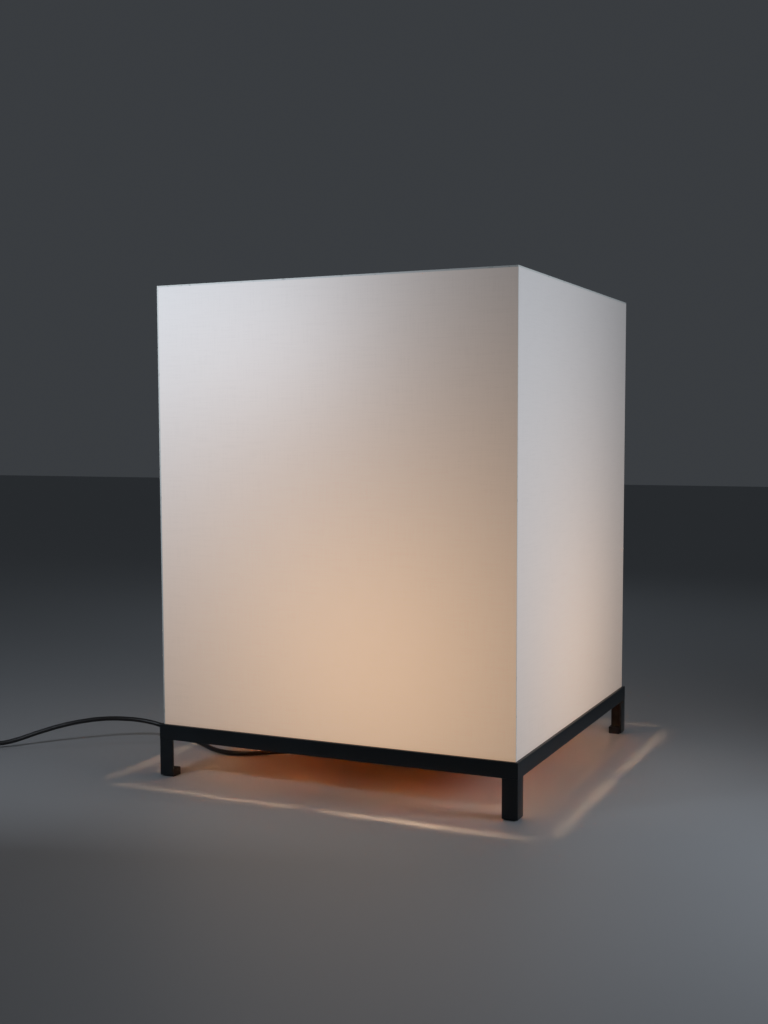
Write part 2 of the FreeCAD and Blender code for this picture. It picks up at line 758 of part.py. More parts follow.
def tube(edges, radius):
    """A solid round tube along edges that follow each other smoothly."""
    path = Part.Wire(edges)
    start = path.OrderedEdges[0]
    heading = start.tangentAt(start.FirstParameter)
    ring = Part.Wire([Part.makeCircle(radius, start.valueAt(start.FirstParameter), heading)])
    return path.makePipeShell([ring], True, False)


def tube_piece(label, shapes):
    thing = doc.addObject("Part::Feature", label)
    thing.Shape = shapes[0] if len(shapes) == 1 else Part.makeCompound(shapes)
    return finished(label, thing)


def report_tube(label, shape, edges, radius, radii):
    length = sum(edge.Length for edge in edges)
    share = shape.Volume / (math.pi * radius**2 * length)
    least = f", least radius {min(radii):.1f}" if radii else ""
    print(f"{label}: {length:.1f} mm long, volume {share:.4f} of section times length{least}")
    print(f"  radii {[round(r, 1) for r in radii]}")


# Two insulated leads, from the strain relief up through the nipple to the porcelain insert.
gland_x, gland_y = (side.number for side in gland_spot)
core = d.core_radius.number
core_side = core + 0.15
core_bend = gland_top.number + 12
core_top = insert_z.number
core_shapes = []
for sign in (-1, 1):
    out = sign * core_side
    core_points = [
        (gland_x + out, gland_y - out, gland_top.number),
        (gland_x + out, gland_y - out, core_bend),
        (gland_x + out + 12, gland_y - out + 12, core_bend + 8),
        (out - 10, -out - 10, core_bend + 9),
        (out, -out, core_bend + 18),
        (out, -out, core_top),
    ]
    core_edges, core_radii = rounded_path(core_points)
    core_shapes.append(tube(core_edges, core))
    report_tube("inner lead", core_shapes[-1], core_edges, core, core_radii)
tube_piece("inner_leads", core_shapes)

# ---------------------------------------------------------------- mains cord
cord = d.cord_radius.number
exit_spot = (gland_x, gland_y, gland_end.number)
above_floor = (gland_x, gland_y, gland_end.number - EXIT_RUN)
heading = math.radians(SWITCH_HEADING)
ahead_x, ahead_y = math.cos(heading), math.sin(heading)
inlet = (*SWITCH_INLET, d.cord_entry.number)
lead_points = [exit_spot, above_floor, *LEAD_POINTS, inlet]
lead_edges, lead_radii = rounded_path(lead_points)
lead = tube(lead_edges, cord)
report_tube("cord_lead", lead, lead_edges, cord, lead_radii)
tube_piece("cord_lead", [lead])


def beyond_inlet(along, z):
    return (SWITCH_INLET[0] + along * ahead_x, SWITCH_INLET[1] + along * ahead_y, z)


# A short link comes down from the switch's outlet to the lowest layer of the coil.
layer_z = d.tie_wall.number + d.tie_gap.number + cord
outlet = d.switch_length.number
link_points = [
    beyond_inlet(outlet, d.cord_entry.number),
    beyond_inlet(outlet + LINK_RUNS[0], d.cord_entry.number),
    beyond_inlet(outlet + LINK_RUNS[1], layer_z),
    beyond_inlet(outlet + LINK_RUNS[2], layer_z),
]
link_edges, link_radii = rounded_path(link_points)
link = tube(link_edges, cord)
report_tube("cord_link", link, link_edges, cord, link_radii)
tube_piece("cord_link", [link])

# The coil turns clockwise seen from above. Its lower layer spirals in, it climbs a layer in the
# half turn round the reversal, and its upper layer spirals out.
pitch = d.turn_pitch.number
outer_radius = d.coil_outer.number
start_angle = heading + math.pi / 2
coil_start = FreeCAD.Vector(*beyond_inlet(outlet + LINK_RUNS[2] + 2 * cord, layer_z))
coil_x = coil_start.x - outer_radius * math.cos(start_angle)
coil_y = coil_start.y - outer_radius * math.sin(start_angle)


def coil_point(turns):
    """A point of the coil's middle line, at a number of turns from its start."""
    radius = outer_radius - pitch * (COIL_REVERSES - abs(turns - COIL_REVERSES))
    angle = start_angle - 2 * math.pi * turns
    climb = min(max((turns - COIL_REVERSES) / 0.5 + 0.5, 0), 1)
    rise = pitch * (3 * climb**2 - 2 * climb**3)
    spot = (coil_x + radius * math.cos(angle), coil_y + radius * math.sin(angle), layer_z + rise)
    return FreeCAD.Vector(*spot)


def coil_heading(turns, level=False):
    """The direction of the coil's middle line; level at its two ends, where it meets a straight."""
    if level:
        angle = start_angle - 2 * math.pi * turns
        return FreeCAD.Vector(math.sin(angle), -math.cos(angle), 0)
    step = 1e-4
    return (coil_point(turns + step) - coil_point(turns - step)).normalize()


def tangent_arc(start, start_heading, end):
    """The middle and the radius of the arc to end that leaves start in the given direction."""
    chord = end - start
    reach = chord.dot(chord) / (2 * chord.dot(start_heading))
    apex = start + start_heading * reach
    half_turn = math.acos(min(1, (chord.Length / 2) / reach))
    radius = (chord.Length / 2) / math.sin(half_turn)
    inward = ((start + end) / 2 - apex).normalize()
    return apex + inward * (radius / math.cos(half_turn) - radius), radius


def biarc(start, start_heading, end, end_heading):
    """Two tangent arcs between two points with given directions."""
    chord = end - start
    bend = 2 * (1 - start_heading.dot(end_heading))
    along = chord.dot(start_heading + end_heading)
    reach = chord.dot(chord) / (along + math.sqrt(along**2 + bend * chord.dot(chord)))
    joint = (start + start_heading * reach + end - end_heading * reach) / 2
    first_middle, first_radius = tangent_arc(start, start_heading, joint)
    last_middle, last_radius = tangent_arc(end, -end_heading, joint)
    first = Part.Arc(start, first_middle, joint).toShape()
    last = Part.Arc(joint, last_middle, end).toShape()
    return [first, last], [first_radius, last_radius]


quarter_turns = [i / 4 for i in range(int(COIL_TURNS * 4) + 1)]
if quarter_turns[-1] < COIL_TURNS:
    quarter_turns.append(COIL_TURNS)
coil_end_heading = coil_heading(COIL_TURNS, level=True)
straight_in = FreeCAD.Vector(*beyond_inlet(outlet + LINK_RUNS[2], layer_z))
coil_edges = [Part.LineSegment(straight_in, coil_start).toShape()]
coil_radii = []
for turns_from, turns_to in zip(quarter_turns, quarter_turns[1:]):
    arcs, radii = biarc(
        coil_point(turns_from),
        coil_heading(turns_from, level=turns_from == 0),
        coil_point(turns_to),
        coil_heading(turns_to, level=turns_to == COIL_TURNS),
    )
    coil_edges += arcs
    coil_radii += radii
coil_last = coil_point(COIL_TURNS)
coil_exit = coil_last + coil_end_heading * (2 * cord)
coil_edges.append(Part.LineSegment(coil_last, coil_exit).toShape())
coil = tube(coil_edges, cord)
report_tube("cord_coil", coil, coil_edges, cord, coil_radii)
tube_piece("cord_coil", [coil])


def least_gap(edges, radius, step=2.0):
    """The smallest gap of a tube to itself, between points of its middle line."""
    spots = [spot for edge in edges for spot in edge.discretize(Distance=step)[:-1]]
    apart = int(3 * math.pi * radius / step)
    return min(
        spots[i].distanceToPoint(spots[j]) - 2 * radius
        for i in range(len(spots))
        for j in range(i + apart, len(spots))
    )


print(f"cord_coil: least gap to itself {least_gap(coil_edges, cord):.2f} mm")

# The tail leaves the upper layer, passes over the lower turns and comes down to the plug.


def beyond_coil(along, z):
    return (coil_exit.x + along * coil_end_heading.x, coil_exit.y + along * coil_end_heading.y, z)


upper_z = layer_z + pitch
entry = d.cord_entry.number
tail_points = [
    beyond_coil(0, upper_z),
    beyond_coil(CLIMB_RUN, upper_z),
    beyond_coil(TAIL_RUNS[2] + 8, entry),
    beyond_coil(TAIL_RUNS[3] + 12, entry),
]
tail_edges, tail_radii = rounded_path(tail_points)
tail = tube(tail_edges, cord)
report_tube("cord_tail", tail, tail_edges, cord, tail_radii)
tube_piece("cord_tail", [tail])

# A strip tie round the turns, at the side of the coil that looks away from the lamp's front.
tie_in = outer_radius - pitch * COIL_REVERSES - cord - 0.6
tie_out = outer_radius + cord + 0.6
wall = d.tie_wall
tie_turn = about_z(90)
tie_height = 2 * (d.tie_gap + d.cord_radius) + d.turn_pitch
tie_outside = block(
    "tie_outside", tie_out - tie_in + 2 * wall, d.tie_width, tie_height + 2 * wall,
    coil_x + d.tie_width / 2, coil_y + tie_in - wall, 0, tie_turn,
)
tie_inside = block(
    "tie_inside", tie_out - tie_in, d.tie_width, tie_height,
    coil_x + d.tie_width / 2, coil_y + tie_in, wall, tie_turn,
)
finished("coil_tie", cut("coil_tie", tie_outside, [tie_inside]))

# ---------------------------------------------------------------- in-line switch
switch_turn = about_z(SWITCH_HEADING)


def beside_inlet(along, across):
    """The place of a point of the switch, from its inlet's middle, along and across the cord."""
    x = SWITCH_INLET[0] + along * ahead_x - across * ahead_y
    y = SWITCH_INLET[1] + along * ahead_y + across * ahead_x
    return x, y


def plate(wall):
    """The switch's outline in plan, drawn in by a wall."""
    long, wide = d.switch_length - wall, d.switch_width - wall
    return [(wall, wall), (long, wall), (long, wide), (wall, wide)]


half_switch = d.switch_width / 2
post_places = [
    beside_inlet(d.post_inset, d.post_inset - half_switch),
    beside_inlet(d.switch_length - d.post_inset, half_switch - d.post_inset),
]


def case_rods(name, radius, height, z):
    """One upright cylinder at each of the switch's two posts."""
    return [rod(f"{name}_{i}", radius, height, *spot, z) for i, spot in enumerate(post_places)]


lower = doc.addObject("PartDesign::Body", "lower_moulding")
padded(lower, "lower_block", outline(lower, "lower_plan", "XY_Plane", plate(0)), d.switch_lower)
rounded(lower, "lower_corners", d.switch_round, is_upright)
lower_hollow = outline(lower, "lower_hollow_plan", "XY_Plane", plate(d.switch_wall), d.switch_wall)
pocketed(lower, "lower_hollow", lower_hollow)
place(lower, *beside_inlet(0, -half_switch), 0, switch_turn)
lower_tools = case_rods("clearance", d.case_screw_radius + d.screw_gap, d.switch_wall, 0)
lower_tools += case_rods("counterbore", d.case_screw_head + d.screw_gap, d.case_screw_sink, 0)
finished("switch_lower_shell", cut("switch_lower_shell", lower, lower_tools))

window_length = Size(
    2 * math.hypot(d.rocker_length.number / 2, d.rocker_rise.number),
    "2 * sqrt((dims.rocker_length / 2)^2 + dims.rocker_rise^2)",
) + 2 * d.rocker_gap
window_width = d.rocker_width + 2 * d.rocker_gap
window_x = (d.switch_length - window_length) / 2
window_y = (d.switch_width - window_width) / 2
upper = doc.addObject("PartDesign::Body", "upper_moulding")
padded(upper, "upper_block", outline(upper, "upper_plan", "XY_Plane", plate(0)), d.switch_upper)
rounded(upper, "upper_corners", d.switch_round, is_upright)
upper_hollow = outline(upper, "upper_hollow_plan", "XY_Plane", plate(d.switch_wall))
pocketed(upper, "upper_hollow", upper_hollow, d.switch_upper - d.switch_wall)
window = outline(
    upper,
    "window_plan",
    "XY_Plane",
    [
        (window_x, window_y),
        (window_x + window_length, window_y),
        (window_x + window_length, window_y + window_width),
        (window_x, window_y + window_width),
    ],
)
pocketed(upper, "window", window)
place(upper, *beside_inlet(0, -half_switch), d.switch_lower, switch_turn)
pivot_z = d.switch_lower + d.switch_upper - d.switch_wall
pivot_span = d.rocker_width + 2 * d.pivot_length
across_cord = switch_turn.multiply(ALONG_Y)
groove = rod(
    "pivot_groove", d.pivot_radius + d.pivot_gap, pivot_span + 2 * d.rocker_gap,
    *beside_inlet(d.switch_length / 2, -pivot_span / 2 - d.rocker_gap), pivot_z, across_cord,
)
post_height = d.switch_upper - d.switch_wall
posts = case_rods("post", d.post_radius, post_height, d.switch_lower)
post_bores = case_rods("post_bore", d.case_screw_radius + d.pivot_gap, post_height, d.switch_lower)
upper_with_posts = joined("upper_with_posts", [upper, *posts])
finished("switch_upper_shell", cut("switch_upper_shell", upper_with_posts, [groove, *post_bores]))
case_screw_top = pivot_z - d.case_screw_stop
case_screws = [
    joined(f"case_screw_{i}", pair)
    for i, pair in enumerate(
        zip(
            case_rods("case_head", d.case_screw_head, d.case_screw_sink, 0),
            case_rods("case_shank", d.case_screw_radius, case_screw_top, 0),
        )
    )
]
finished("switch_screws", joined("switch_screws", case_screws))

# The rocker is drawn level with its pivot at its origin, and set down tilted to "on".
half_rocker = d.rocker_length / 2
rocker_bar = doc.addObject("PartDesign::Body", "rocker_moulding")
low_end = d.rocker_depth - 0.5
rocker_outline = [
    (0, low_end),
    (half_rocker / 2, 0),
    (half_rocker * 1.5, 0),
    (d.rocker_length, low_end),
    (d.rocker_length, d.rocker_depth + d.rocker_rise),
    (half_rocker, d.rocker_depth + d.rocker_rise - d.rocker_dip),
    (0, d.rocker_depth + d.rocker_rise),
]
rocker_plan = outline(rocker_bar, "rocker_outline", "XZ_Plane", rocker_outline)
padded(rocker_bar, "rocker_width", rocker_plan, d.rocker_width)
place(rocker_bar, -half_rocker, d.rocker_width / 2, -d.rocker_depth)
pins = rod("rocker_pins", d.pivot_radius, pivot_span, 0, -pivot_span / 2, 0, ALONG_Y)
rocker = joined("switch_rocker", [rocker_bar, pins])
tilt = FreeCAD.Rotation(FreeCAD.Vector(0, 1, 0), d.rocker_tilt.number)
pivot_spot = beside_inlet(d.switch_length / 2, 0)
finished("switch_rocker", place(rocker, *pivot_spot, pivot_z, switch_turn.multiply(tilt)))

# ---------------------------------------------------------------- flat two-pin plug
plug_spot = beyond_coil(TAIL_RUNS[3] + 12, 0)
plug_turn = about_z(math.degrees(math.atan2(coil_end_heading.y, coil_end_heading.x)))


def beside_plug(along, across):
    x = plug_spot[0] + along * coil_end_heading.x - across * coil_end_heading.y
    y = plug_spot[1] + along * coil_end_heading.y + across * coil_end_heading.x
    return x, y


half_plug = d.plug_width / 2
grip_end = d.plug_length / 2
plug = doc.addObject("PartDesign::Body", "plug_body")
plug_plan = [
    (0, half_plug - d.plug_neck / 2),
    (d.plug_length / 6, half_plug - d.plug_waist / 2),
    (grip_end, half_plug - d.plug_waist / 2),
    (d.plug_length * 0.7, 0),
    (d.plug_length, 0),
    (d.plug_length, d.plug_width),
    (d.plug_length * 0.7, d.plug_width),
    (grip_end, half_plug + d.plug_waist / 2),
    (d.plug_length / 6, half_plug + d.plug_waist / 2),
    (0, half_plug + d.plug_neck / 2),
]
padded(plug, "plug_block", outline(plug, "plug_plan", "XY_Plane", plug_plan), d.plug_height)
rounded(plug, "plug_edges", d.plug_round, is_upright)
finished("plug_body", place(plug, *beside_plug(0, -half_plug), 0, plug_turn))
pin_rods = []
for i, sign in enumerate((-1, 1)):
    pin_spot = beside_plug(d.plug_length, sign * d.pin_spacing / 2)
    along_plug = plug_turn.multiply(ALONG_X)
    pin_rods.append(rod(f"pin_{i}", d.pin_radius, d.pin_length, *pin_spot, d.cord_entry, along_plug))
finished("plug_pins", joined("plug_pins", pin_rods))

# ---------------------------------------------------------------- check and write
doc.recompute()
broken = [o.Name for o in doc.Objects if "Invalid" in o.State or "Error" in o.State]
if broken:
    raise SystemExit(f"failed: {broken}")
for label, thing in parts.items():
    if thing.Shape.isNull() or not thing.Shape.isValid():
        raise SystemExit(f"{label} has no valid shape")
os.makedirs("parts", exist_ok=True)
for label, thing in parts.items():
    thing.Shape.exportStep(f"parts/{label}.step")
print(f"{len(parts)} sub-parts written")
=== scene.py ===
import math

import bpy
import numpy as np
from mathutils import Matrix, Vector


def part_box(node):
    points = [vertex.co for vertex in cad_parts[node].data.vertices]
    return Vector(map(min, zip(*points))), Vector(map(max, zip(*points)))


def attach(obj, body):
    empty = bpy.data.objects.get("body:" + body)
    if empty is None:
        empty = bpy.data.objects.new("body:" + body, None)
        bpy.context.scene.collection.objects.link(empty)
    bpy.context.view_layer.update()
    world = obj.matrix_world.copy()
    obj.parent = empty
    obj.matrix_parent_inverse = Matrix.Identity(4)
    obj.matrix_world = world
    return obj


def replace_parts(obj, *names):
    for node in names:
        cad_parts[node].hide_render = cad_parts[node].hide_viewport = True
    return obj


# A box-shaped floor lamp: a white laminated shade that stands loose on a low frame of welded steel
# angle, lit from inside by one bulb, with a black mains cord. Metres, floor at 0, -Y the front.
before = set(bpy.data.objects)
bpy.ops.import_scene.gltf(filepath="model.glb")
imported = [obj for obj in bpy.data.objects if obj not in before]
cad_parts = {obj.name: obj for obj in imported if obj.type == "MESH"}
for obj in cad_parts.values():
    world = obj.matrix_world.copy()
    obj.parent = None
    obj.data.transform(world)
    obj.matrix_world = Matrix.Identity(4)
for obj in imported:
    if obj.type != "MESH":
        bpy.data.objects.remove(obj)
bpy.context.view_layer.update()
MM = 0.001

# ---------------------------------------------------------------- viewpoint
# The photograph's viewpoint, found from the corners of the shade and the frame. The lens is in
# millimetres on a 36 mm sensor, and the shift is a share of the picture's longer side.
VIEW_PLACE = Vector((0.7297, -1.6633, 0.4578))
VIEW_AZIMUTH = math.radians(24.731)
VIEW_ELEVATION = math.radians(4.470)
VIEW_ROLL = math.radians(-0.154)
VIEW_LENS = 45.50
VIEW_SHIFT = 0.0191

level_right = Vector((math.cos(VIEW_AZIMUTH), math.sin(VIEW_AZIMUTH), 0))
view_back = Vector(
    (
        math.sin(VIEW_AZIMUTH) * math.cos(VIEW_ELEVATION),
        -math.cos(VIEW_AZIMUTH) * math.cos(VIEW_ELEVATION),
        math.sin(VIEW_ELEVATION),
    )
)
level_up = view_back.cross(level_right)
view_right = level_right * math.cos(VIEW_ROLL) + level_up * math.sin(VIEW_ROLL)
view_up = level_up * math.cos(VIEW_ROLL) - level_right * math.sin(VIEW_ROLL)
camera_data = bpy.data.cameras.new("viewpoint")
camera_data.lens = VIEW_LENS
camera_data.shift_y = VIEW_SHIFT
camera_data.clip_start = 0.05
camera = bpy.data.objects.new("viewpoint", camera_data)
view_turn = Matrix((view_right, view_up, view_back)).transposed().to_4x4()
camera.matrix_world = Matrix.Translation(VIEW_PLACE) @ view_turn
bpy.context.scene.collection.objects.link(camera)
bpy.context.scene.camera = camera
bpy.context.scene.view_settings.view_transform = "Standard"

# ---------------------------------------------------------------- mains cord
# Round black PVC cord, extruded smooth, 6.5 mm thick. It drops out of the strain relief, crosses
# the floor, rises in a low stiff arch outside the frame and comes down to an in-line switch.
CORD_RADIUS = 3.25 * MM
CORD_ENTRY = 6.5 * MM
GLAND_SPOT = (-40 * MM, -40 * MM)
GLAND_TIP = 52 * MM
EXIT_RUN = 12 * MM
LEAD_POINTS = [
    (-47.0, -43.0, 29.5),
    (-60.0, -49.0, 20.0),
    (-82.0, -59.0, 13.2),
    (-117.0, -76.0, 8.4),
    (-163.0, -96.5, 5.6),
    (-208.0, -118.5, 3.4),
    (-247.0, -116.0, 3.4),
    (-281.0, -96.0, 5.0),
    (-315.0, -83.0, 9.0),
    (-350.0, -77.5, 18.0),
    (-387.0, -82.5, 26.8),
    (-420.0, -101.5, 31.6),
    (-448.0, -126.0, 33.2),
    (-481.0, -155.5, 28.2),
    (-510.0, -181.5, 19.0),
    (-535.0, -206.0, 8.8),
    (-553.0, -224.5, 6.5),
]
SWITCH_INLET = (-570 * MM, -241 * MM)
SWITCH_HEADING = math.radians(225)
SWITCH_LENGTH = 58 * MM
ahead = np.array((math.cos(SWITCH_HEADING), math.sin(SWITCH_HEADING)))


def linear(code):
    """Turns an sRGB hex colour into the linear red, green, blue, alpha that shaders read."""
    channels = [int(code[i : i + 2], 16) / 255 for i in (1, 3, 5)]
    curve = [c / 12.92 if c <= 0.04045 else ((c + 0.055) / 1.055) ** 2.4 for c in channels]
    return (*curve, 1.0)


def add(tree, kind, inputs, **settings):
    """Adds a shader node, sets its own settings, and sets or links its inputs by name or number."""
    node = tree.nodes.new(f"ShaderNode{kind}")
    for name, value in settings.items():
        setattr(node, name, value)
    for name, value in inputs.items():
        if isinstance(value, bpy.types.NodeSocket):
            tree.links.new(value, node.inputs[name])
        else:
            node.inputs[name].default_value = value
    return node


def new_material(name):
    """An empty node material: its tree, its Principled shader and its Object coordinates."""
    material = bpy.data.materials.new(name)
    material.use_nodes = True
    tree = material.node_tree
    shader = tree.nodes["Principled BSDF"]
    place = add(tree, "TexCoord", {}).outputs["Object"]
    return material, tree, shader, place


def ramp(tree, factor, stops):
    """A colour ramp over a factor, from (position, colour) pairs."""
    node = add(tree, "ValToRGB", {"Fac": factor})
    elements = node.color_ramp.elements
    while len(elements) < len(stops):
        elements.new(0.5)
    for element, (position, colour) in zip(elements, stops):
        element.position = position
        element.color = colour
    return node.outputs["Color"]


def grained(
    name, dark, light, roughness, grain_mm, depth_mm, patch_mm=25.0, round_mm=0.0, **sockets
):
    """A finish whose colour wanders between two tones in soft patches, with a fine raised grain.

    The roughness wanders by a tenth either way with the same patches. round_mm shades sharp edges
    as if they were broken with that radius.
    """
    material, tree, shader, place = new_material(name)
    patches = add(tree, "TexNoise", {"Vector": place, "Scale": 1 / (patch_mm * MM), "Detail": 5.0})
    tone = ramp(tree, patches.outputs["Fac"], [(0.3, linear(dark)), (0.7, linear(light))])
    tree.links.new(tone, shader.inputs["Base Color"])
    wander = {"To Min": roughness * 0.9, "To Max": min(1, roughness * 1.1)}
    rough = add(tree, "MapRange", {"Value": patches.outputs["Fac"], **wander}).outputs["Result"]
    tree.links.new(rough, shader.inputs["Roughness"])
    grain = add(tree, "TexNoise", {"Vector": place, "Scale": 1 / (grain_mm * MM), "Detail": 3.0})
    raised = {"Height": grain.outputs["Fac"], "Distance": depth_mm * MM, "Strength": 0.6}
    if round_mm:
        broken = add(tree, "Bevel", {"Radius": round_mm * MM}, samples=8)
        raised["Normal"] = broken.outputs["Normal"]
    tree.links.new(add(tree, "Bump", raised).outputs["Normal"], shader.inputs["Normal"])
    for socket, value in sockets.items():
        shader.inputs[socket.replace("_", " ")].default_value = value
    return material


def dress(material, *nodes):
    """Gives CAD nodes their finish."""
    for node in nodes:
        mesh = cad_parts[node].data
        mesh.materials.clear()
        mesh.materials.append(material)


# Extruded PVC: black, a satin skin with a faint waviness along its length.
pvc = grained("extruded_pvc", "#0B0B0C", "#141415", 0.42, 1.2, 0.05, IOR=1.53)


def cord_piece(name, points):
    """A round cord along a smooth curve of second degree, with the points as its control points."""
    curve = bpy.data.curves.new(name, "CURVE")
    curve.dimensions = "3D"
    curve.resolution_u = 8
    curve.bevel_depth = CORD_RADIUS
    curve.bevel_resolution = 5
    curve.use_fill_caps = True
    spline = curve.splines.new("NURBS")
    spline.points.add(len(points) - 1)
    for point, spot in zip(spline.points, points):
        point.co = (*spot, 1.0)
    spline.order_u = 3
    spline.use_endpoint_u = True
    curve.materials.append(pvc)
    cord = bpy.data.objects.new(name, curve)
    bpy.context.scene.collection.objects.link(cord)
    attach(cord, "base")
    return cord


def beyond_inlet(along, height):
    """A point ahead of the switch's inlet, along the cord."""
    return (SWITCH_INLET[0] + along * ahead[0], SWITCH_INLET[1] + along * ahead[1], height)


lead_route = [
    (*GLAND_SPOT, GLAND_TIP),
    (*GLAND_SPOT, GLAND_TIP - EXIT_RUN),
    *[tuple(side * MM for side in point) for point in LEAD_POINTS],
    beyond_inlet(0, CORD_ENTRY),
]
lead = cord_piece("mains_lead", lead_route)
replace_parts(lead, "cord_lead")

# The rest of the cord is put away: wound clockwise into a neat coil of two layers, the lower one
# spiralling in and the upper one out, with its tail led over the lower turns to the plug.
LAYER = 4.15 * MM
TURN_PITCH = 7 * MM
COIL_OUTER = 46 * MM
COIL_REVERSES = 3.25
COIL_TURNS = 5.375
STEP_TURNS = 0.5
TURN_POINTS = 24
# How far beyond the switch the cord stays level, has sunk to the floor, and starts to bend.
LINK_LEVEL, LINK_SUNK, LINK_END = 10 * MM, 22 * MM, 32 * MM
coil_start_angle = SWITCH_HEADING + math.pi / 2
straight_end = beyond_inlet(SWITCH_LENGTH + LINK_END + 2 * CORD_RADIUS, LAYER)
coil_middle = (
    straight_end[0] - COIL_OUTER * math.cos(coil_start_angle),
    straight_end[1] - COIL_OUTER * math.sin(coil_start_angle),
)


def coil_point(turns):
    """A point of the winding: an Archimedean spiral in and out again, with a smooth step up."""
    radius = COIL_OUTER - TURN_PITCH * (COIL_REVERSES - abs(turns - COIL_REVERSES))
    radius /= math.cos(math.pi / TURN_POINTS)
    angle = coil_start_angle - 2 * math.pi * turns
    climb = min(max((turns - COIL_REVERSES) / STEP_TURNS + 0.5, 0), 1)
    height = LAYER + TURN_PITCH * (3 * climb**2 - 2 * climb**3)
    x = coil_middle[0] + radius * math.cos(angle)
    y = coil_middle[1] + radius * math.sin(angle)
    return (x, y, height)


coil_route = [
    beyond_inlet(SWITCH_LENGTH, CORD_ENTRY),
    beyond_inlet(SWITCH_LENGTH + LINK_LEVEL, CORD_ENTRY),
    beyond_inlet(SWITCH_LENGTH + LINK_SUNK, LAYER),
    beyond_inlet(SWITCH_LENGTH + LINK_END, LAYER),
]
coil_steps = int(COIL_TURNS * TURN_POINTS)
coil_route += [coil_point((i + 0.5) / TURN_POINTS) for i in range(coil_steps)]
tail_x = coil_middle[0] - (COIL_OUTER - TURN_PITCH * (2 * COIL_REVERSES - COIL_TURNS))
tail_start = coil_middle[1] + 2 * CORD_RADIUS
UPPER_LAYER = LAYER + TURN_PITCH
coil_route += [(tail_x, tail_start + along * MM, UPPER_LAYER) for along in (10, 30)]
coil_route += [(tail_x, tail_start + along * MM, CORD_ENTRY) for along in (52, 65, 78)]
coiled = cord_piece("coiled_cord", coil_route)
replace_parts(coiled, "cord_link", "cord_coil", "cord_tail")


# ---------------------------------------------------------------- floor and light
# A plain pale floor, a cool soft light close to the front from the upper left, one from the right,
# and a weak one behind.
floor_mesh = bpy.data.meshes.new("floor")
REACH = 9.0
floor_corners = [(-REACH, -REACH, 0), (REACH, -REACH, 0), (REACH, REACH, 0), (-REACH, REACH, 0)]
floor_mesh.from_pydata(floor_corners, [], [(0, 1, 2, 3)])
floor = bpy.data.objects.new("floor", floor_mesh)
bpy.context.scene.collection.objects.link(floor)
floor_finish, floor_tree, floor_shader, _ = new_material("pale_floor")
floor_shader.inputs["Base Color"].default_value = linear("#A6A9AB")
floor_shader.inputs["Roughness"].default_value = 0.55
floor_mesh.materials.append(floor_finish)

world = bpy.data.worlds.new("studio")
world.use_nodes = True
sky = world.node_tree.nodes["Background"]
sky.inputs["Color"].default_value = linear("#E2ECF8")
sky.inputs["Strength"].default_value = 0.055
bpy.context.scene.world = world


def soft_light(name, place, target, side, watts, colour):
    """A square area light at a place, looking at a target, which no picture shows itself."""
    data = bpy.data.lights.new(name, "AREA")
    data.size = side
    data.energy = watts
    data.color = linear(colour)[:3]
    lamp = bpy.data.objects.new(name, data)
    lamp.location = place
    lamp.rotation_euler = (Vector(target) - Vector(place)).to_track_quat("-Z", "Y").to_euler()
    lamp.visible_camera = False
    bpy.context.scene.collection.objects.link(lamp)


COOL_WHITE = "#EBF3FF"
soft_light("window", (-0.36, -0.82, 0.65), (-0.72, 0.38, 1.02), 0.30, watts=4.1, colour=COOL_WHITE)
soft_light("side", (1.09, -0.15, 0.40), (-0.45, -0.98, 1.33), 0.30, watts=6.2, colour=COOL_WHITE)
soft_light("rear", (-0.20, 1.50, 1.50), (0, 0, 0.50), 0.60, watts=2.0, colour=COOL_WHITE)

# ---------------------------------------------------------------- welded frame
# Hot rolled steel angle, 20 x 20 x 3 mm, mitred and welded, painted a satin slate that has a
# slight orange peel. Its outer edges are a little rounded and its inner corner is a fillet.
FRAME_HALF = 250 * MM
ANGLE = 20 * MM
WALL = 3 * MM
FRAME_TOP = 70 * MM
STEEL_FOOT = 1.5 * MM
EDGE = 0.7 * MM
FILLET = 2.5 * MM

slate = grained("satin_slate_paint", "#0D1418", "#151D22", 0.42, 1.6, 0.03, patch_mm=60.0, IOR=1.45)


def surface(name, points, material, body, looped=False):
    """A skin over a grid of points: rows along the piece, columns round its section.

    The last column joins the first. looped also joins the last row to the first, and otherwise
    both of these rows are filled.
    """
    points = np.asarray(points, float)
    rows, columns, _ = points.shape
    index = np.arange(rows * columns).reshape(rows, columns)
    beside = np.roll(index, -1, axis=1)
    next_beside, next_index = np.roll(beside, -1, axis=0), np.roll(index, -1, axis=0)
    quads = np.stack([index, beside, next_beside, next_index], axis=-1)
    if looped:
        faces = quads.reshape(-1, 4).tolist()
    else:
        faces = quads[:-1].reshape(-1, 4).tolist()
        faces += [index[0][::-1].tolist(), index[-1].tolist()]
    mesh = bpy.data.meshes.new(name)
    mesh.from_pydata(points.reshape(-1, 3).tolist(), [], faces)
    mesh.validate()
    mesh.shade_smooth()
    mesh.materials.append(material)
    piece = bpy.data.objects.new(name, mesh)
    bpy.context.scene.collection.objects.link(piece)
    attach(piece, body)
    return piece


def soften(piece, degrees=35):
    """Keeps the edges of a smooth piece sharp where they turn by more than an angle."""
    piece.data.set_sharp_from_angle(angle=math.radians(degrees))
    return piece


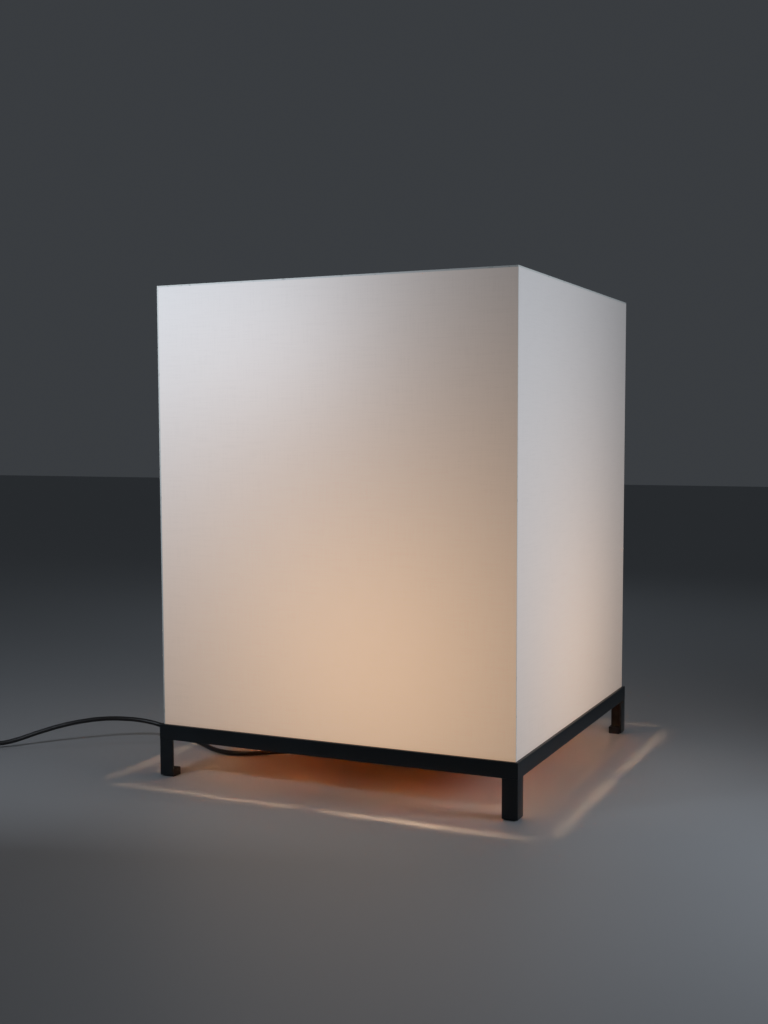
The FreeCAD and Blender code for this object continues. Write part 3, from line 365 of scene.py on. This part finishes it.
def rounded_section(corners, radii, steps=4):
    """A closed section: each corner is a round of its own radius, drawn in a few steps.

    The round's points are start*(1-u)^2 + corner*2u(1-u) + end*u^2, a short parabola that
    touches both sides at one radius from the corner.
    """
    corners = np.asarray(corners, float)
    before, after = np.roll(corners, 1, axis=0), np.roll(corners, -1, axis=0)
    radii = np.asarray(radii, float)[:, None]
    to_before, to_after = before - corners, after - corners
    start = corners + to_before / np.linalg.norm(to_before, axis=1, keepdims=True) * radii
    end = corners + to_after / np.linalg.norm(to_after, axis=1, keepdims=True) * radii
    u = np.linspace(0, 1, steps)[None, :, None]
    bends = start[:, None] * (1 - u) ** 2 + corners[:, None] * 2 * u * (1 - u) + end[:, None] * u**2
    return bends.reshape(-1, 2)


def quarter_turned(points, turns):
    """Carries points round the lamp's upright axis by quarter turns."""
    angle = math.radians(90 * turns)
    level_turn = [[math.cos(angle), -math.sin(angle), 0], [math.sin(angle), math.cos(angle), 0]]
    return points @ np.array([*level_turn, [0, 0, 1]]).T


# A rail's section is (distance in from the frame's outer face, height), and a point of it runs
# from mitre to mitre: from -(half - distance) to +(half - distance).
rail_section = rounded_section(
    [
        (0, FRAME_TOP - ANGLE),
        (WALL, FRAME_TOP - ANGLE),
        (WALL, FRAME_TOP - WALL),
        (ANGLE, FRAME_TOP - WALL),
        (ANGLE, FRAME_TOP),
        (0, FRAME_TOP),
    ],
    [EDGE, EDGE, FILLET, EDGE, EDGE, EDGE],
)
RAIL_STEPS = 9
rail_run = np.linspace(-1, 1, RAIL_STEPS)[:, None] * (FRAME_HALF - rail_section[:, 0])
rail_depth = np.broadcast_to(rail_section[:, 0] - FRAME_HALF, rail_run.shape)
rail_height = np.broadcast_to(rail_section[:, 1], rail_run.shape)
rail_points = np.stack([rail_run, rail_depth, rail_height], axis=-1)
for turns, side in enumerate(["front", "right", "rear", "left"]):
    placed = quarter_turned(rail_points, turns)
    rail = surface(f"{side}_angle_rail", placed, slate, "base")
    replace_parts(soften(rail), f"{side}_rail")

# The legs are the same angle, cut square and butted under the corners.
leg_section = rounded_section(
    [(0, 0), (ANGLE, 0), (ANGLE, WALL), (WALL, WALL), (WALL, ANGLE), (0, ANGLE)],
    [EDGE, EDGE, EDGE, FILLET, EDGE, EDGE],
)
corner_names = ["front_left", "front_right", "rear_right", "rear_left"]
leg_levels = np.array([STEEL_FOOT, STEEL_FOOT + EDGE, FRAME_TOP - ANGLE])
draw_in = np.array([EDGE / 2, 0, 0])[:, None, None]
leg_middle = leg_section.mean(axis=0)
leg_plan = leg_section[None] + draw_in * np.sign(leg_middle - leg_section)[None]
leg_heights = np.broadcast_to(leg_levels[:, None], leg_plan.shape[:2])
leg_points = np.concatenate([leg_plan - FRAME_HALF, leg_heights[..., None]], axis=-1)
for turns, corner in enumerate(corner_names):
    placed = quarter_turned(leg_points, turns)
    leg = surface(f"{corner}_angle_leg", placed, slate, "base")
    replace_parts(soften(leg), f"{corner}_leg")

# The flat bars and the lugs keep sharp solids, whose edges are only shaded as broken.
bar_slate = grained(
    "slate_paint_on_bars",
    "#0D1418",
    "#151D22",
    0.42,
    1.6,
    0.03,
    patch_mm=60.0,
    round_mm=0.6,
    IOR=1.45,
)
dress(bar_slate, "cross_bar", "front_half_bar", "rear_half_bar")
dress(bar_slate, *[f"{corner}_lug" for corner in corner_names])

# ---------------------------------------------------------------- feet
# Moulded rubber blocks, matt black, pressed and glued into the legs. Their lower rim is rounded.
FOOT_SIDE = 16.6 * MM
FOOT_ROUND = 2 * MM
rubber = grained("moulded_rubber", "#0D0D0E", "#171716", 0.8, 0.9, 0.08, IOR=1.52)
foot_square = np.array([(0, 0), (FOOT_SIDE, 0), (FOOT_SIDE, FOOT_SIDE), (0, FOOT_SIDE)])
foot_plan = rounded_section(foot_square, [0.3 * MM, FOOT_ROUND, FOOT_ROUND, FOOT_ROUND], steps=6)
# Heights of the foot in millimetres, and how far its outline is drawn in there.
FOOT_LEVELS = np.array([(0, 0.6), (0.3, 0.15), (0.8, 0), (9.5, 0), (10, 0.4)]) * MM
inward = foot_plan.mean(axis=0) - foot_plan
inward /= np.linalg.norm(inward, axis=1, keepdims=True)
foot_outlines = foot_plan[None] + inward[None] * FOOT_LEVELS[:, 1][:, None, None]
foot_heights = np.broadcast_to(FOOT_LEVELS[:, :1], foot_outlines.shape[:2])
foot_points = np.concatenate([foot_outlines + WALL - FRAME_HALF, foot_heights[..., None]], axis=-1)
for turns, corner in enumerate(corner_names):
    placed = quarter_turned(foot_points, turns)
    foot = surface(f"{corner}_rubber_foot", placed, rubber, "base")
    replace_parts(soften(foot, degrees=40), f"{corner}_foot")

# ---------------------------------------------------------------- bottom panel
# Cast acrylic, translucent amber, 3 mm thick and smooth, lying on the cross of flat bars. About
# two thirds of it scatters light as a solid colour, and the rest lets tinted light through.
amber, amber_tree, amber_shader, _ = new_material("amber_acrylic")
amber_shader.inputs["Base Color"].default_value = linear("#D08A1E")
amber_shader.inputs["Roughness"].default_value = 0.25
amber_shader.inputs["IOR"].default_value = 1.49
CLOUDED = 0.68
tint = add(amber_tree, "BsdfTransparent", {"Color": linear("#F0B22A")})
veil = add(amber_tree, "MixShader", {0: CLOUDED, 1: tint.outputs[0], 2: amber_shader.outputs[0]})
amber_tree.links.new(veil.outputs[0], amber_tree.nodes["Material Output"].inputs["Surface"])
dress(amber, "bottom_panel")

# ---------------------------------------------------------------- wiring box
# Pressed sheet steel, powder coated white: a soft gloss with a fine pebble. Zinc plated screws
# go through its flange, and a hollow threaded nipple with a lock nut carries the lampholder.
powder = grained("white_powder_coat", "#DDDBD6", "#E2E0DB", 0.5, 1.2, 0.04, IOR=1.5)
zinc = grained(
    "zinc_plate",
    "#8F9192",
    "#A9ABAA",
    0.34,
    0.8,
    0.02,
    patch_mm=6.0,
    round_mm=0.8,
    Metallic=1.0,
)
# Half side, corner round and height of the cover's sheet, from the inside over the flange and the
# bends up to the nipple's hole and back down inside.
COVER_RINGS = [
    (79, 3, 70), (91.8, 4, 70), (92, 4, 70.3), (92, 4, 70.8), (91.8, 4, 71),
    (81.5, 5, 71), (80.4, 4.4, 71.4), (80, 4, 72.5), (80, 4, 112.5), (79.7, 4, 114),
    (79, 4, 114.7), (77.5, 4, 115), (5.2, 5.2, 115), (5.2, 5.2, 114), (77, 3, 114),
    (78.6, 3, 113.4), (79, 3, 112),
]
cover_rows = []
for half, bend, height in COVER_RINGS:
    square = [(-half, -half), (half, -half), (half, half), (-half, half)]
    plan = rounded_section(square, [bend] * 4, steps=6)
    cover_rows.append(np.column_stack([plan, np.full(len(plan), height)]) * MM)
cover = surface("pressed_wiring_box", cover_rows, powder, "base", looped=True)
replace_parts(soften(cover), "wiring_box_cover")
dress(zinc, "cover_screws", "threaded_nipple", "lock_nut", "switch_screws")

# ---------------------------------------------------------------- lampholder
# Black phenolic mouldings round a glazed porcelain insert, with a brass sleeve and contact.
phenolic = grained("moulded_phenolic", "#0C0B0B", "#151413", 0.3, 0.9, 0.02, IOR=1.58)
glaze = grained("glazed_porcelain", "#E6E3DB", "#EFEDE6", 0.12, 2.5, 0.02, IOR=1.52)
brass = grained("rolled_brass", "#B48A45", "#CBA35C", 0.28, 0.8, 0.02, patch_mm=8.0, Metallic=1.0)

# The two leads lie side by side, so that one is all at x > y and brown, and the other blue.
insulation, pair_tree, pair_shader, pair_place = new_material("brown_and_blue_insulation")
across_pair = {0: pair_place, 1: (1, -1, 0)}
which = add(pair_tree, "VectorMath", across_pair, operation="DOT_PRODUCT").outputs["Value"]
brown = add(pair_tree, "Math", {0: which, 1: 0.0}, operation="GREATER_THAN").outputs[0]
pair_colours = {"Factor": brown, 6: linear("#2B4E8C"), 7: linear("#54301C")}
pair_colour = add(pair_tree, "Mix", pair_colours, data_type="RGBA").outputs[2]
pair_tree.links.new(pair_colour, pair_shader.inputs["Base Color"])
pair_shader.inputs["Roughness"].default_value = 0.42
dress(phenolic, "lampholder_base", "lampholder_shell")
dress(glaze, "porcelain_insert")
dress(brass, "threaded_sleeve", "centre_contact")
dress(insulation, "inner_leads")

# ---------------------------------------------------------------- bulb
# An LED bulb with a nickel plated screw cap, a white moulded housing and a frosted globe, which
# is lit: warm light, even over the whole globe.
BULB_SEAT = 148.3 * MM
GLOBE_MIDDLE = BULB_SEAT + 78 * MM
GLOBE_RADIUS = 30 * MM
GLOBE_RIM = BULB_SEAT + 66 * MM
nickel = grained("nickel_plate", "#A9A59C", "#C4C0B6", 0.2, 0.8, 0.01, patch_mm=6.0, Metallic=1.0)
housing_plastic = grained("white_polycarbonate", "#DEDCD6", "#E8E6E1", 0.35, 0.9, 0.02, IOR=1.58)
solder = grained("solder", "#8C8D8D", "#A3A4A3", 0.4, 0.6, 0.03, patch_mm=3.0, Metallic=1.0)
black_glass = grained("black_glass", "#0A0A0C", "#101013", 0.1, 0.9, 0.005, IOR=1.52)
solder_mask = grained("white_solder_mask", "#DADAD7", "#E5E5E2", 0.3, 0.6, 0.01, IOR=1.5)
phosphor = grained("led_phosphor", "#D8A93A", "#E4BC55", 0.5, 0.4, 0.02, patch_mm=2.0)
board_green = grained("circuit_board", "#1B4A28", "#245B33", 0.4, 0.6, 0.02, patch_mm=5.0)
dress(nickel, "bulb_screw_cap")
dress(housing_plastic, "bulb_housing")
dress(solder, "bulb_contact")
dress(black_glass, "bulb_insulator")
dress(solder_mask, "led_board")
dress(phosphor, "led_chips")
dress(board_green, "driver_board")

frosted, frosted_tree, frosted_shader, _ = new_material("lit_frosted_globe")
frosted_shader.inputs["Base Color"].default_value = linear("#F4EEE2")
frosted_shader.inputs["Roughness"].default_value = 0.45
frosted_shader.inputs["Emission Color"].default_value = linear("#FFD3A8")
GLOBE_GLOW = 260.0
frosted_shader.inputs["Emission Strength"].default_value = GLOBE_GLOW
rim_angle = math.asin((GLOBE_RIM - GLOBE_MIDDLE) / GLOBE_RADIUS)
NEAR_POLE = math.pi / 2 - 0.02
GLOBE_ROWS, GLOBE_COLUMNS = 26, 48
rise = np.linspace(rim_angle, NEAR_POLE, GLOBE_ROWS)[:, None]
round_angle = np.linspace(0, 2 * math.pi, GLOBE_COLUMNS, endpoint=False)[None, :]
globe = surface(
    "frosted_globe",
    np.stack(
        [
            GLOBE_RADIUS * np.cos(rise) * np.cos(round_angle),
            GLOBE_RADIUS * np.cos(rise) * np.sin(round_angle),
            GLOBE_MIDDLE + GLOBE_RADIUS * np.sin(rise) * np.ones_like(round_angle),
        ],
        axis=-1,
    ),
    frosted,
    "bulb",
)
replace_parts(globe, "bulb_globe")

# ---------------------------------------------------------------- shade
# White laminate: a plastic film over a fine woven backing, 2 mm thick, whose threads show as
# faint level and upright streaks. The bulb's light through it is painted on as a glow,
# strongest where it is nearest.
GLOW_REACH = 300 * MM
THREAD_STEP = 1.5 * MM  # drawn coarser than the real 0.4 mm threads, so that they just show
THREAD_RUN = 40 * MM
CHIPS_PER_METRE = 110.0
GLOW_COLOUR = (1.0, 0.62, 0.35, 1.0)


def laminate(name, across, middle, power, strength, lost):
    """Laminate lit from behind: it glows with strength * (reach / distance)^power - lost.

    distance runs from the middle of the light inside. The glow is painted light, laid on as
    emission rather than let through the sheet. across is the direction through the sheet:
    only the broad faces glow, and the cut edges show the grey-green core.
    """
    material, tree, shader, place = new_material(name)
    fine, long = 1 / THREAD_STEP, 1 / THREAD_RUN
    upright = add(tree, "Mapping", {"Vector": place, "Scale": (fine, fine, long)}).outputs[0]
    level = add(tree, "Mapping", {"Vector": place, "Scale": (long, long, fine)}).outputs[0]
    warp = add(tree, "TexNoise", {"Vector": upright, "Scale": 1.0, "Detail": 1.0}).outputs[0]
    weft = add(tree, "TexNoise", {"Vector": level, "Scale": 1.0, "Detail": 1.0}).outputs[0]
    weave = add(tree, "Math", {0: warp, 1: weft}, operation="ADD").outputs[0]
    film = ramp(tree, weave, [(0.75, linear("#D7D6D4")), (1.0, linear("#DAD9D7"))])
    chips = add(tree, "TexNoise", {"Vector": place, "Scale": CHIPS_PER_METRE, "Detail": 4.0})
    core = ramp(tree, chips.outputs["Fac"], [(0.30, linear("#A0A59E")), (0.42, linear("#CBCDC8"))])
    facing = add(tree, "NewGeometry", {}).outputs["Normal"]
    through = add(tree, "VectorMath", {0: facing, 1: across}, operation="DOT_PRODUCT")
    flat = add(tree, "Math", {0: through.outputs["Value"]}, operation="ABSOLUTE").outputs[0]
    broad = add(tree, "Math", {0: flat, 1: 0.5}, operation="GREATER_THAN").outputs[0]
    colour = add(tree, "Mix", {"Factor": broad, 6: core, 7: film}, data_type="RGBA")
    tree.links.new(colour.outputs[2], shader.inputs["Base Color"])
    shader.inputs["Roughness"].default_value = 0.42
    shader.inputs["IOR"].default_value = 1.5
    # The painted glow: the bulb's light through the sheet, laid on as emission that fades with
    # distance.
    away = add(tree, "VectorMath", {0: place, 1: middle}, operation="DISTANCE").outputs["Value"]
    near = add(tree, "Math", {0: GLOW_REACH, 1: away}, operation="DIVIDE").outputs[0]
    direct = add(tree, "Math", {0: near, 1: power}, operation="POWER").outputs[0]
    raw = add(tree, "Math", {0: direct, 1: strength, 2: -lost}, operation="MULTIPLY_ADD").outputs[0]
    glow = add(tree, "Math", {0: raw, 1: 0.0}, operation="MAXIMUM").outputs[0]
    weave_range = {"From Min": 0.6, "From Max": 1.4, "To Min": 0.975, "To Max": 1.025}
    threaded = add(tree, "MapRange", {"Value": weave, **weave_range}).outputs[0]
    woven = add(tree, "Math", {0: glow, 1: threaded}, operation="MULTIPLY").outputs[0]
    shown = add(tree, "Math", {0: woven, 1: broad}, operation="MULTIPLY").outputs[0]
    shader.inputs["Emission Color"].default_value = GLOW_COLOUR
    tree.links.new(shown, shader.inputs["Emission Strength"])
    relief = add(tree, "Bump", {"Height": weave, "Distance": 0.03 * MM, "Strength": 0.4})
    tree.links.new(relief.outputs["Normal"], shader.inputs["Normal"])
    return material


# Middles of the painted glow as each sheet shows it, and its power, strength and what is lost.
# The walls that the photograph doesn't show take what the right one shows.
ALONG_X, ALONG_Y, ALONG_Z = (1, 0, 0), (0, 1, 0), (0, 0, 1)
GLOW_FRONT = (60 * MM, 50 * MM, 170 * MM)
GLOW_REAR = (60 * MM, -50 * MM, 170 * MM)
GLOW_RIGHT = (-50 * MM, 0, 150 * MM)
GLOW_LEFT = (50 * MM, 0, 150 * MM)
GLOW_TOP = (0, 0, 195 * MM)
FRONT_FADE, WALL_FADE, LID_FADE = (1.5, 0.715, 0.177), (2.5, 0.347, 0.02), (2.0, 0.38, 0.0)
dress(laminate("front_laminate", ALONG_Y, GLOW_FRONT, *FRONT_FADE), "front_panel")
dress(laminate("right_laminate", ALONG_X, GLOW_RIGHT, *WALL_FADE), "right_panel")
dress(laminate("rear_laminate", ALONG_Y, GLOW_REAR, *WALL_FADE), "rear_panel")
dress(laminate("left_laminate", ALONG_X, GLOW_LEFT, *WALL_FADE), "left_panel")
dress(laminate("lid_laminate", ALONG_Z, GLOW_TOP, *LID_FADE), "top_panel")
white_wire = grained("white_coated_wire", "#D9D7D2", "#E4E2DD", 0.45, 1.0, 0.02, IOR=1.5)
dress(white_wire, "bottom_wires", "top_wires", "corner_wires")

# ---------------------------------------------------------------- strain relief
# Moulded rubber, snapped into the bottom panel between two rims, with a ribbed tapering sleeve.
SLEEVE_TOP = 65 * MM
SLEEVE_WIDE = 6.4 * MM
SLEEVE_NARROW = 4.4 * MM
RIBS = 4
RIM_RADIUS = 9 * MM
PANEL_UNDER, PANEL_TOP = 67 * MM, 70 * MM
RIM_TOP = 72 * MM
RELIEF_ROWS, RELIEF_COLUMNS = 41, 40
along = np.linspace(0, 1, RELIEF_ROWS)
sleeve_height = GLAND_TIP + (SLEEVE_TOP - GLAND_TIP) * along
sleeve_radius = SLEEVE_NARROW + (SLEEVE_WIDE - SLEEVE_NARROW) * along
sleeve_radius -= 0.5 * MM * np.clip(np.cos(2 * math.pi * RIBS * along), 0, 1)
rings = [
    (0.2 * MM, GLAND_TIP),
    *zip(sleeve_radius, sleeve_height),
    (RIM_RADIUS - 0.4 * MM, SLEEVE_TOP),
    (RIM_RADIUS, SLEEVE_TOP + 0.4 * MM),
    (RIM_RADIUS, PANEL_UNDER),
    (SLEEVE_WIDE, PANEL_UNDER),
    (SLEEVE_WIDE, PANEL_TOP),
    (RIM_RADIUS, PANEL_TOP),
    (RIM_RADIUS, RIM_TOP - 0.5 * MM),
    (RIM_RADIUS - 0.5 * MM, RIM_TOP),
    (0.2 * MM, RIM_TOP),
]
ring_radius, ring_height = np.array(rings).T[:, :, None]
turn = np.linspace(0, 2 * math.pi, RELIEF_COLUMNS, endpoint=False)[None, :]
relief_points = np.stack(
    [
        GLAND_SPOT[0] + ring_radius * np.cos(turn),
        GLAND_SPOT[1] + ring_radius * np.sin(turn),
        ring_height * np.ones_like(turn),
    ],
    axis=-1,
)
relief = surface("ribbed_strain_relief", relief_points, rubber, "base")
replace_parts(soften(relief), "strain_relief")

# ---------------------------------------------------------------- switch, tie and plug
# The switch is two shells and a rocker in black ABS with a fine spark-eroded texture. The plug is
# a soft black moulding with nickel plated pins. A nylon strip ties the coil.
abs_black = grained(
    "spark_eroded_abs", "#0E0E0F", "#171718", 0.45, 0.5, 0.06, round_mm=0.8, IOR=1.54
)
rocker_gloss = grained(
    "polished_abs", "#0D0D0E", "#131314", 0.22, 0.9, 0.01, round_mm=0.5, IOR=1.54
)
nylon = grained("nylon_strip", "#101011", "#18181A", 0.5, 0.8, 0.03, round_mm=0.6, IOR=1.53)
dress(abs_black, "switch_lower_shell", "switch_upper_shell")
dress(rocker_gloss, "switch_rocker")
dress(nylon, "coil_tie")
dress(nickel, "plug_pins")

# The plug's section is |x/a|^n + |z/b|^n = 1, a rounded oblong, whose width follows the plan: a
# narrow neck at the cord, a waisted grip, and a broad head at the pins.
soft_pvc = grained("moulded_pvc", "#0F0F10", "#181818", 0.5, 1.2, 0.05, IOR=1.53)
plug_low, plug_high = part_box("plug_body")
PLUG_STATIONS = [0.0, 0.02, 0.18, 0.5, 0.72, 0.94, 0.985, 1.0]
PLUG_WIDTHS = [8.0, 11.0, 20.0, 20.5, 34.4, 35.0, 34.0, 31.0]
PLUG_HEIGHTS = [8.0, 9.5, 12.2, 12.6, 13.0, 13.0, 12.2, 9.8]
PLUG_ROWS, PLUG_COLUMNS = 60, 48
PLUG_THICKNESS = 13 * MM
plug_run = np.linspace(0, 1, PLUG_ROWS)
widths = np.interp(plug_run, PLUG_STATIONS, PLUG_WIDTHS) * MM
kernel = np.ones(5) / 5
widths = np.convolve(np.pad(widths, 2, mode="edge"), kernel, mode="valid")
heights = np.interp(plug_run, PLUG_STATIONS, PLUG_HEIGHTS) * MM
heights = np.convolve(np.pad(heights, 2, mode="edge"), kernel, mode="valid")
heights = np.minimum(heights, PLUG_THICKNESS)
SQUARENESS = 4.0
section_angle = np.linspace(0, 2 * math.pi, PLUG_COLUMNS, endpoint=False)[None, :]
oblong_x = np.sign(np.cos(section_angle)) * np.abs(np.cos(section_angle)) ** (2 / SQUARENESS)
oblong_z = np.sign(np.sin(section_angle)) * np.abs(np.sin(section_angle)) ** (2 / SQUARENESS)
plug_middle = (plug_low.x + plug_high.x) / 2
plug_points = np.stack(
    [
        plug_middle + widths[:, None] / 2 * oblong_x,
        (plug_low.y + (plug_high.y - plug_low.y) * plug_run)[:, None] * np.ones_like(oblong_x),
        CORD_ENTRY + heights[:, None] / 2 * oblong_z,
    ],
    axis=-1,
)
plug = surface("moulded_plug", plug_points[:, ::-1], soft_pvc, "base")
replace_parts(soften(plug, degrees=45), "plug_body")
